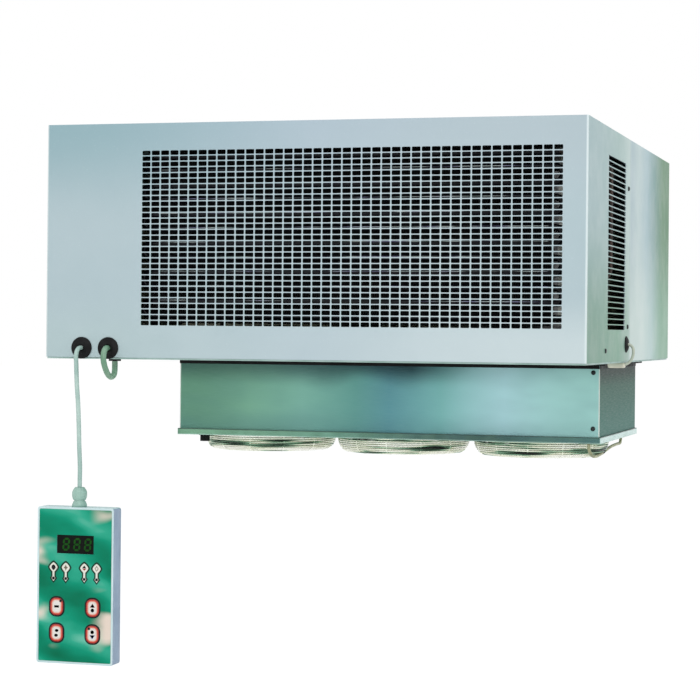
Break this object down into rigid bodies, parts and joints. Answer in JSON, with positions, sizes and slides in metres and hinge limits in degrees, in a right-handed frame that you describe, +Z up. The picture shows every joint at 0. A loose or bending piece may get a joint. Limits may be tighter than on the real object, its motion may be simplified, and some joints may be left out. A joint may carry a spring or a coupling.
{
  "type": "monoblock refrigeration unit",
  "caption": "Ceiling-mounted cold-room refrigeration unit: painted condensing housing with a punched grille over a bare metal evaporator box with caged fans and a wired keypad.",
  "frame": {"origin": "centre of the evaporator box in plan, at the underside of the ceiling seal", "axes": "+Z up; the grille front and the keypad face -Y; +X is to the right seen from the front"},
  "size_m": [0.8264, 0.8465, 0.7912],
  "materials": {
    "painted_sheet": "satin powder coat",
    "bare_sheet": "bright rolled sheet",
    "galvanised": "spangled zinc",
    "rubber": "matt",
    "copper": "drawn tube",
    "fins": "mill finish",
    "wire": "bright plated",
    "black_metal": "satin black",
    "valve_brass": "machined",
    "white_plastic": "fine texture",
    "overlay_film": "printed film",
    "display_glass": "glossy",
    "circuit_board": "solder mask",
    "key_plastic": "glossy",
    "cord_jacket": "smooth",
    "foam": "moulded foam",
    "zinc_screws": "zinc plated"
  },
  "bodies": {
    "housing": {"base_pan": "galvanised", "front_cover": "painted_sheet", "grille_screen": "painted_sheet", "rear_cover": "painted_sheet", "lid": "painted_sheet", "cover_screws": "zinc_screws", "cable_grommets": "rubber", "lead_bushings": "rubber", "condenser_fins": "fins", "condenser_tubes": "copper", "condenser_end_plates": "galvanised", "fan_shroud": "galvanised", "condenser_motors": "black_metal", "condenser_motor_brackets": "galvanised", "compressor": "black_metal", "compressor_feet": "rubber", "compressor_terminal_cover": "black_metal", "liquid_receiver": "black_metal", "filter_drier": "black_metal", "discharge_pipe": "copper", "liquid_pipes": "copper", "suction_pipe": "copper", "expansion_valve": "valve_brass", "electrical_box": "galvanised", "electrical_box_lid": "galvanised", "contactor": "white_plastic", "terminal_block": "white_plastic", "ceiling_seal": "rubber", "evaporator_front_panel": "bare_sheet", "evaporator_rear_panel": "bare_sheet", "box_screws": "zinc_screws", "insulated_cell": "foam", "evaporator_fins": "fins", "evaporator_tubes": "copper", "evaporator_end_plates": "galvanised", "defrost_heater": "galvanised", "drip_tray": "bare_sheet", "drain_spout": "rubber", "evaporator_motors": "black_metal", "evaporator_motor_brackets": "galvanised", "fan_guards": "wire", "keypad_back_shell": "white_plastic", "keypad_front_shell": "white_plastic", "keypad_overlay": "overlay_film", "keypad_display": "display_glass", "keypad_board": "circuit_board", "keypad_gland": "white_plastic", "keypad_cord": "cord_jacket", "supply_cable": "cord_jacket", "side_lead": "cord_jacket", "probe_lead": "cord_jacket"},
    "condenser_fan_left": {"condenser_fan_left": "fins"},
    "condenser_fan_right": {"condenser_fan_right": "fins"},
    "evaporator_fan_left": {"evaporator_fan_left": "fins"},
    "evaporator_fan_middle": {"evaporator_fan_middle": "fins"},
    "evaporator_fan_right": {"evaporator_fan_right": "fins"},
    "key_upper_left": {"key_upper_left": "key_plastic"},
    "key_upper_right": {"key_upper_right": "key_plastic"},
    "key_lower_left": {"key_lower_left": "key_plastic"},
    "key_lower_right": {"key_lower_right": "key_plastic"}
  },
  "joints": [
    {"name": "evaporator_fan_left_spin", "type": "hinge", "parent": "housing", "child": "evaporator_fan_left", "pos_m": [-0.235, -0.056, -0.1], "axis": [0, 0, 1], "continuous": true},
    {"name": "evaporator_fan_middle_spin", "type": "hinge", "parent": "housing", "child": "evaporator_fan_middle", "pos_m": [0, -0.056, -0.1], "axis": [0, 0, 1], "continuous": true},
    {"name": "evaporator_fan_right_spin", "type": "hinge", "parent": "housing", "child": "evaporator_fan_right", "pos_m": [0.235, -0.056, -0.1], "axis": [0, 0, 1], "continuous": true},
    {"name": "condenser_fan_left_spin", "type": "hinge", "parent": "housing", "child": "condenser_fan_left", "pos_m": [-0.098, -0.48, 0.1871], "axis": [0, 1, 0], "continuous": true},
    {"name": "condenser_fan_right_spin", "type": "hinge", "parent": "housing", "child": "condenser_fan_right", "pos_m": [0.202, -0.48, 0.1871], "axis": [0, 1, 0], "continuous": true},
    {"name": "key_upper_left_press", "type": "slide", "parent": "housing", "child": "key_upper_left", "axis": [0, 1, 0], "range_m": [0, 0.001], "stiffness_N_per_m": 600},
    {"name": "key_upper_right_press", "type": "slide", "parent": "housing", "child": "key_upper_right", "axis": [0, 1, 0], "range_m": [0, 0.001], "stiffness_N_per_m": 600},
    {"name": "key_lower_left_press", "type": "slide", "parent": "housing", "child": "key_lower_left", "axis": [0, 1, 0], "range_m": [0, 0.001], "stiffness_N_per_m": 600},
    {"name": "key_lower_right_press", "type": "slide", "parent": "housing", "child": "key_lower_right", "axis": [0, 1, 0], "range_m": [0, 0.001], "stiffness_N_per_m": 600}
  ]
}
